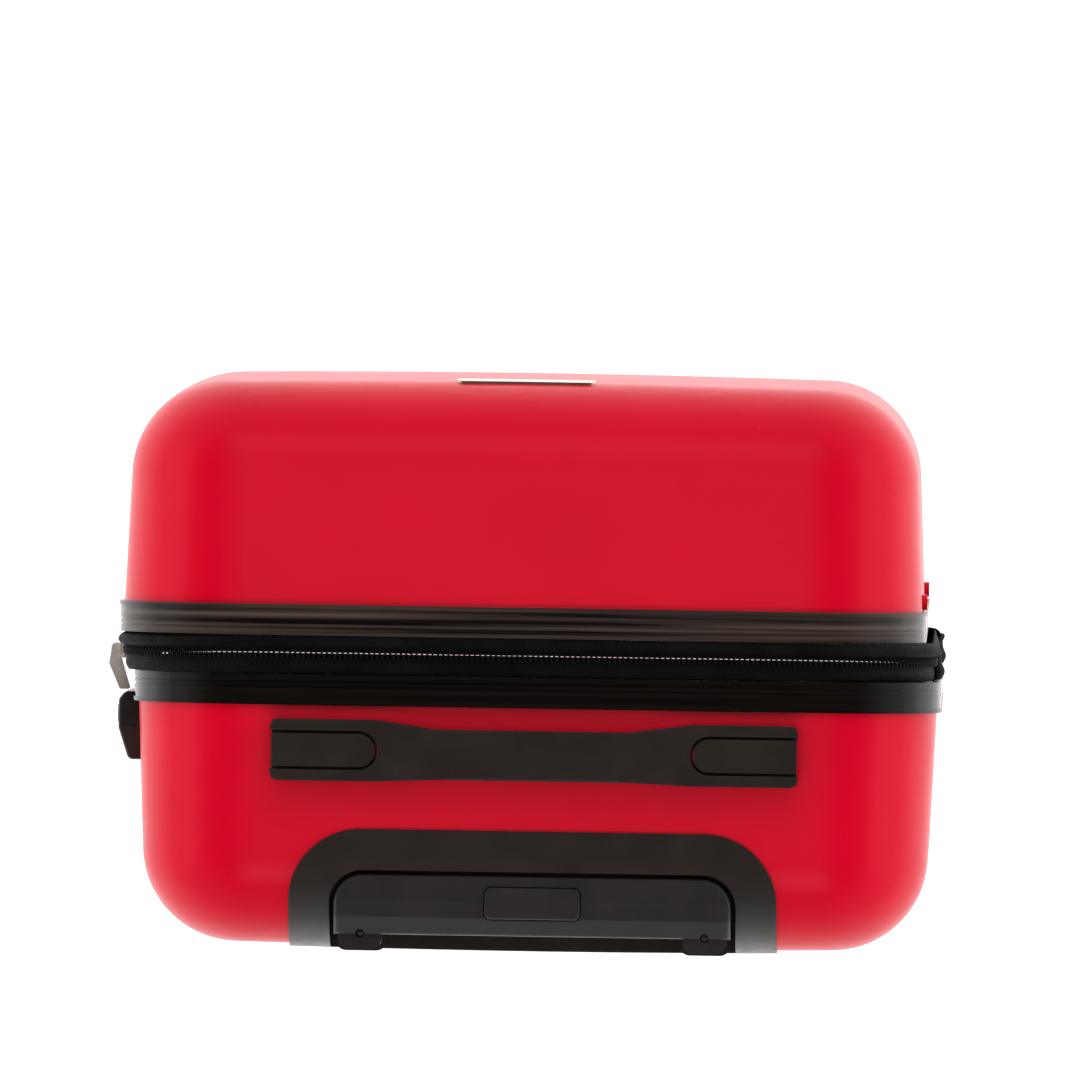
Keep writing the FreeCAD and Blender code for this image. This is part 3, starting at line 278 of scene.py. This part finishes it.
gloss_rim = rim_gloss("rim_gloss", (0.0016, 0.0014, 0.0013), (0.0060, 0.0048, 0.0040), 1.36)
# the front rim's pale brown streaks are a painted warm sheen, the reflection of light from above painted into its
# base colour
front_rim_painted_sheen = rim_gloss("rim_gloss_painted_sheen", (0.004, 0.0032, 0.0028), (0.090, 0.062, 0.050), 1.40)

materials = {
    "shell": red,
    "rim": gloss_rim,
    "handle_plastic": moulded("grained_handle", (0.016, 0.012, 0.010), (0.021, 0.016, 0.0135), 0.34,
                              1300, 0.00004, Specular_IOR_Level=0.65),
    "guide_plastic": moulded("grained_guide", (0.018, 0.0145, 0.013), (0.023, 0.018, 0.016), 0.50,
                             1300, 0.00008, Specular_IOR_Level=0.3),
    "tube_metal": metal("anodised_tube", (0.62, 0.63, 0.65), (0.54, 0.55, 0.57), 0.30),
    "steel": metal("plated_steel", (0.60, 0.60, 0.61), (0.48, 0.48, 0.50), 0.28, (1, 1, 1)),
    "lock_gloss": moulded("lock_gloss", (0.012, 0.012, 0.013), (0.018, 0.018, 0.019), 0.26, 500, 0.00002,
                          Specular_IOR_Level=0.34),
    "dial_plastic": moulded("dial_plastic", (0.045, 0.045, 0.047), (0.06, 0.06, 0.062), 0.40),
    "zip_metal": metal("nickel", (0.88, 0.83, 0.77), (0.78, 0.70, 0.62), 0.50, (1, 1, 1), Metallic=0.65),
    "badge_metal": metal("badge_metal", (0.86, 0.78, 0.70), (0.78, 0.60, 0.46), 0.22, (0.03, 1, 1)),
    "buckle": moulded("buckle_plastic", (0.016, 0.016, 0.017), (0.022, 0.022, 0.023), 0.42),
    "caster_plastic": moulded("caster_plastic", (0.014, 0.0135, 0.013), (0.020, 0.019, 0.018), 0.46,
                              800, 0.00009),
    "hub": moulded("hub_plastic", (0.10, 0.10, 0.105), (0.13, 0.13, 0.135), 0.42),
    "tyre": moulded("tyre_rubber", (0.020, 0.020, 0.021), (0.030, 0.030, 0.031), 0.68, 400, 0.0002),
    "lining": cloth("lining_cloth", (0.050, 0.052, 0.058), (0.065, 0.067, 0.074), 0.0014),
    "webbing": cloth("webbing", (0.018, 0.018, 0.020), (0.026, 0.026, 0.029), 0.0018, 0.0002),
    "zip_cloth": woven_band("zip_tape", (0.0026, 0.0025, 0.0026), (0.0050, 0.0048, 0.0050), 0.0011, 0.0008,
                            0.00014, 0.66),
}
grip_finish = moulded("grained_grip", (0.016, 0.0145, 0.014), (0.021, 0.0185, 0.0175), 0.38, 1500, 0.00005,
                      Specular_IOR_Level=0.5)
button_finish = moulded("button_plastic", (0.021, 0.0185, 0.018), (0.027, 0.024, 0.023), 0.32, 700, 0.00002,
                        Specular_IOR_Level=0.35)
coil_finish = moulded("coil_nylon", (0.0045, 0.0045, 0.005), (0.007, 0.007, 0.008), 0.36, 1500, 0.00003,
                      Specular_IOR_Level=0.14)


def finish_piece(piece, surface):
    """Gives a piece its material."""
    piece.data.materials.clear()
    piece.data.materials.append(surface.material)


for part in frame["record"]["subparts"]:
    finish_piece(frame["nodes"][part["node"]], materials[part["material_slot"]])
# the front rim gets the material with the painted warm sheen
finish_piece(frame["nodes"]["front_rim"], front_rim_painted_sheen)
finish_piece(frame["nodes"]["trolley_grip"], grip_finish)
finish_piece(frame["nodes"]["trolley_button"], button_finish)


# ---------------------------------------------------------------------------------------------
# mesh helpers
# ---------------------------------------------------------------------------------------------
def piece(name, points, faces, uvs=None, smooth=True):
    """A new mesh object; points in millimetres, one UV pair in metres for each point."""
    mesh = bpy.data.meshes.new(name)
    mesh.from_pydata([[c * MM for c in p] for p in points], [], faces)
    mesh.polygons.foreach_set("use_smooth", [smooth] * len(mesh.polygons))
    if uvs:
        layer = mesh.uv_layers.new(name="UVMap")
        for loop in mesh.loops:
            layer.data[loop.index].uv = uvs[loop.vertex_index]
    obj = bpy.data.objects.new(name, mesh)
    scene.collection.objects.link(obj)
    return obj


def grid_faces(rows, columns, offset=0, wrap=False):
    """Faces of a grid of points; wrap closes each row on itself."""
    last = columns if wrap else columns - 1
    return [(offset + r * columns + c, offset + r * columns + (c + 1) % columns,
             offset + (r + 1) * columns + (c + 1) % columns, offset + (r + 1) * columns + c)
            for r in range(rows - 1) for c in range(last)]


MIDDLE_Z = 297.0


def outline(half_wide, half_tall, radius, step):
    """A rounded rectangle seen from the front, from the middle of the hinge side upwards and all round.

    Gives (x, z, outward x, outward z, distance along), in millimetres."""
    flat_x, flat_z = half_wide - radius, half_tall - radius
    legs = (((-half_wide, 0), (-half_wide, flat_z)), ((-flat_x, flat_z), 180),
            ((-flat_x, half_tall), (flat_x, half_tall)), ((flat_x, flat_z), 90),
            ((half_wide, flat_z), (half_wide, -flat_z)), ((flat_x, -flat_z), 0),
            ((flat_x, -half_tall), (-flat_x, -half_tall)), ((-flat_x, -flat_z), -90),
            ((-half_wide, -flat_z), (-half_wide, 0)))
    points = []
    travelled = 0.0
    for start, end in legs:
        if isinstance(end, tuple):
            run = math.dist(start, end)
            count = max(1, round(run / step))
            along = ((end[0] - start[0]) / run, (end[1] - start[1]) / run)
            for i in range(count):
                d = run * i / count
                points.append((start[0] + along[0] * d, MIDDLE_Z + start[1] + along[1] * d,
                               -along[1], along[0], travelled + d))
            travelled += run
        else:
            run = radius * math.pi / 2
            count = max(1, round(run / step))
            for i in range(count):
                turn = math.radians(end - 90 * i / count)
                out = (math.cos(turn), math.sin(turn))
                points.append((start[0] + radius * out[0], MIDDLE_Z + start[1] + radius * out[1], *out,
                               travelled + run * i / count))
            travelled += run
    return points


def open_part(points, half_open):
    """The outline without its hinge side, where the two halves are joined by cloth."""
    return [p for p in points if not (p[2] < -0.99 and abs(p[1] - MIDDLE_Z) < half_open)]


# ---------------------------------------------------------------------------------------------
# the zip: two woven tapes with a coil each, whose turns pass between each other
# ---------------------------------------------------------------------------------------------
ZIP_HALF_WIDE, ZIP_HALF_TALL, ZIP_RADIUS = 179.5, 246.5, 58.0
SEAM_Y = -5.4
COIL_PITCH = 2.32
COIL_OUT = -1.55
ZIP_HALF_OPEN = 188     # half of the hinge side's length without a zip


def ripple(s, phase):
    """Slack cloth never lies straight: how far a tape stands out at a distance along it."""
    return (0.45 * math.sin(s / 31.0 + phase) + 0.3 * math.sin(s / 12.3 + 2 * phase)
            + 0.15 * math.sin(s / 5.1 + 3 * phase))


def tape(name, profile, phase, bulge):
    """A tape from its profile of (y, out) points. It ripples, more towards its free middle."""
    path = open_part(outline(ZIP_HALF_WIDE, ZIP_HALF_TALL, ZIP_RADIUS, 2.5), ZIP_HALF_OPEN)
    points, uvs = [], []
    for x, z, out_x, out_z, s in path:
        lift = ripple(s, phase)
        across = 0.0
        for i, (y, out) in enumerate(profile):
            free = math.sin(math.pi * min(1.0, i / (len(profile) - 1) * 1.15)) ** 0.8 if i else 0.0
            far = out + free * (0.6 * lift + bulge(s))
            points.append((x + out_x * far, y + free * 0.25 * ripple(s, phase + 2), z + out_z * far))
            uvs.append((s * MM, across * MM))
            if i + 1 < len(profile):
                across += math.dist(profile[i], profile[i + 1])
    obj = piece(name, points, grid_faces(len(path), len(profile)), uvs)
    thick = obj.modifiers.new("thickness", "SOLIDIFY")
    thick.thickness = 0.7 * MM
    thick.offset = 0
    return obj


def coil(name, side, phase, out, shift):
    """One side of the coil: a row of small leaning turns that reach between their partners."""
    rings, around = 6, 8
    root, length = -2.15, 2.75
    thick, arch, lean_along = 0.52, 0.55, 0.35
    path = open_part(outline(ZIP_HALF_WIDE, ZIP_HALF_TALL, ZIP_RADIUS, COIL_PITCH),
                     ZIP_HALF_OPEN - 1)
    points, faces = [], []
    for x, z, out_x, out_z, s in path:
        along = (out_z, -out_x)
        lift = 0.6 * ripple(s, phase)
        base = len(points)
        for r in range(rings):
            t = r / (rings - 1)
            reach = root + length * t
            size = thick * math.sqrt(max(0.02, 1 - (2 * t - 1) ** 4))
            rise = out + arch * math.sin(math.pi * t) + lift
            lean = shift + lean_along * (t - 0.5)
            for a in range(around):
                turn = 2 * math.pi * a / around
                slide = lean + size * math.cos(turn)
                height = rise + 1.15 * size * math.sin(turn)
                points.append((x + out_x * height + along[0] * slide, SEAM_Y - side * reach,
                               z + out_z * height + along[1] * slide))
        faces += grid_faces(rings, around, base, True)
        faces.append(tuple(base + a for a in range(around)))
        faces.append(tuple(base + (rings - 1) * around + around - 1 - a for a in range(around)))
    return piece(name, points, faces)


def front_bulge(s):
    """The front tape stands out at the lock side's upper corner and near the hinge's end."""
    lock_corner = ZIP_HALF_TALL - ZIP_RADIUS + math.pi * ZIP_RADIUS + 2 * (ZIP_HALF_WIDE - ZIP_RADIUS)
    return 1.6 * math.exp(-((s - lock_corner) / 45) ** 2) + 1.2 * math.exp(-((s - 200) / 30) ** 2)


FRONT_TAPE = ((-13.35, -3.2), (-13.0, -2.0), (-12.2, -1.0), (-11.2, -0.4), (-10.2, -0.15), (-9.3, -0.3),
              (-8.6, -0.9), (-8.1, -1.5), (-7.6, -1.9), (-7.0, -2.1), (-6.3, -2.2))
BACK_TAPE = ((2.95, -3.1), (2.3, -2.7), (1.4, -2.3), (0.4, -2.05), (-0.7, -2.0), (-1.6, -2.1), (-2.3, -2.3),
             (-3.0, -2.4), (-3.8, -2.45), (-4.5, -2.5))
front_tape = tape("front_zip_tape", FRONT_TAPE, 0.4, front_bulge)
back_tape = tape("back_zip_tape", BACK_TAPE, 0.4, lambda s: 0.0)
front_coil = coil("front_zip_coil", 1, 0.4, COIL_OUT, 0.0)
back_coil = coil("back_zip_coil", -1, 0.4, COIL_OUT, COIL_PITCH / 2)
for tape_piece, coil_piece, node, body in ((front_tape, front_coil, "front_zip", "front_half"),
                                           (back_tape, back_coil, "back_zip", "back_half")):
    finish_piece(tape_piece, materials["zip_cloth"])
    finish_piece(coil_piece, coil_finish)
    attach(tape_piece, body)
    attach(coil_piece, body)
    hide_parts(node)
    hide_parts(node)


# ---------------------------------------------------------------------------------------------
# cloth hinge, end tabs
# ---------------------------------------------------------------------------------------------
HINGE_X, HINGE_BACK_Y, HINGE_FRONT_Y = -177.1, 3.0, -12.9


def hinge_cloth():
    """The strip of cloth between the rims, bulging outwards and a little wavy."""
    low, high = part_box("hinge_strip")
    rows, columns = 141, 15
    points, uvs = [], []
    for r in range(rows):
        z = low.z / MM + (high.z - low.z) / MM * r / (rows - 1)
        for c in range(columns):
            t = c / (columns - 1)
            y = HINGE_BACK_Y + (HINGE_FRONT_Y - HINGE_BACK_Y) * t
            arch = math.sin(math.pi * t)
            x = HINGE_X - arch * (1.6 + 0.5 * math.sin(z / 23.0) + 0.25 * math.sin(z / 7.7 + 4 * t))
            points.append((x, y, z))
            uvs.append((z * MM, y * MM))
    strip = piece("hinge_cloth", points, grid_faces(rows, columns), uvs)
    thick = strip.modifiers.new("thickness", "SOLIDIFY")
    thick.thickness = 0.8 * MM
    thick.offset = 0
    return strip


strip = hinge_cloth()
finish_piece(strip, materials["zip_cloth"])
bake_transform(strip)
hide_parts("hinge_strip")


def end_tab(name, z, lean):
    """A folded scrap of tape sewn over the end of the zip, with its corner turned up."""
    rows, columns = 15, 17
    points, uvs = [], []
    for r in range(rows):
        v = r / (rows - 1)
        for c in range(columns):
            u = c / (columns - 1)
            y = 2.2 - 13.6 * u
            crown = max(0.0, math.sin(math.pi * v)) ** 0.6
            x = -178.4 - 2.4 * crown - 1.6 * math.exp(-((u - 0.25) / 0.22) ** 2) * crown \
                - 1.0 * math.exp(-((u - 0.9) / 0.1) ** 2)
            points.append((x, y + 0.8 * lean * (v - 0.5), z - 6 + 12 * v))
            uvs.append((u * 0.0145, v * 0.012))
    tab = piece(name, points, grid_faces(rows, columns), uvs)
    thick = tab.modifiers.new("thickness", "SOLIDIFY")
    thick.thickness = 1.1 * MM
    thick.offset = -1
    bevel = tab.modifiers.new("soft_edge", "BEVEL")
    bevel.width = 0.3 * MM
    bevel.segments = 2
    bevel.limit_method = "ANGLE"
    finish_piece(tab, materials["zip_cloth"])
    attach(tab, "back_half")
    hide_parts("zip_end_tabs")


end_tab("zip_end_tab_upper", 479.4, 1)
end_tab("zip_end_tab_lower", 114.6, -1)


# ---------------------------------------------------------------------------------------------
# inside: linings, divider panel, packing straps
# ---------------------------------------------------------------------------------------------
def softened(name, node, depth, surface, body, cell):
    """Cloth that follows a CAD solid, on a mesh of its own, with shallow creases pressed into it.

    The creases move only the points that the solid's mesh has, so large flat faces stay flat. Its faces aren't
    joined to each other, so the creases also open it slightly where two of them meet.
    """
    obj = bpy.data.objects.new(name, frame["nodes"][node].data.copy())
    scene.collection.objects.link(obj)
    texture = bpy.data.textures.new(name + "_creases", "CLOUDS")
    texture.noise_scale = cell
    creases = obj.modifiers.new("creases", "DISPLACE")
    creases.texture = texture
    creases.texture_coords = "LOCAL"
    creases.strength = depth
    creases.mid_level = 0.5
    finish_piece(obj, surface)
    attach(obj, body)
    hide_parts(node)
    return obj


# each lining is cut as the case's face with a flap as deep as the half on all four sides, its corners cut out
LINING_CUTS = {"front": (0.55, 0.68, 0.325), "back": (0.57, 0.70, 0.34)}
for half, (cut_wide, cut_long, cut_area) in LINING_CUTS.items():
    lining = softened(f"{half}_lining_cloth", f"{half}_lining", 0.0004, materials["lining"],
                      f"{half}_half", 0.05)

panel = softened("divider_cloth", "divider_panel", 0.0006, materials["lining"], "front_half", 0.04)
softened("packing_webbing", "packing_straps", 0.0003, materials["webbing"], "back_half", 0.015)

# ---------------------------------------------------------------------------------------------
# copies of two mouldings
# ---------------------------------------------------------------------------------------------
def rounded_copy(name, node, width, surface, body):
    """A copy of a moulding, with a bevel that the mesh's short edges hold to almost nothing: it stays sharp edged."""
    obj = bpy.data.objects.new(name, frame["nodes"][node].data.copy())
    scene.collection.objects.link(obj)
    weld = obj.modifiers.new("weld", "WELD")
    weld.merge_threshold = 0.01 * MM
    rounding = obj.modifiers.new("rounding", "BEVEL")
    rounding.width = width
    rounding.segments = 4
    rounding.limit_method = "ANGLE"
    rounding.angle_limit = math.radians(40)
    rounding.harden_normals = True
    finish_piece(obj, surface)
    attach(obj, body)
    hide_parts(node)


rounded_copy("carry_handle_rounded", "carry_handle", 1.5 * MM, materials["handle_plastic"],
             "carry_handle_body")
rounded_copy("grip_rounded", "trolley_grip", 0.9 * MM, grip_finish, "grip_stage")


# ---------------------------------------------------------------------------------------------
# floor
# ---------------------------------------------------------------------------------------------
FLOOR_REACH = 60000
corners = [(x * FLOOR_REACH, y * FLOOR_REACH, 0) for x, y in ((-1, -1), (1, -1), (1, 1), (-1, 1))]
floor = piece("floor", corners, [(0, 1, 2, 3)], smooth=False)
pale = Surface("pale_floor", (0.9, 0.9, 0.9), 0.9)
pale.set("Emission Color", (1, 1, 1, 1))
pale.set("Emission Strength", 0.75)
floor.data.materials.append(pale.material)
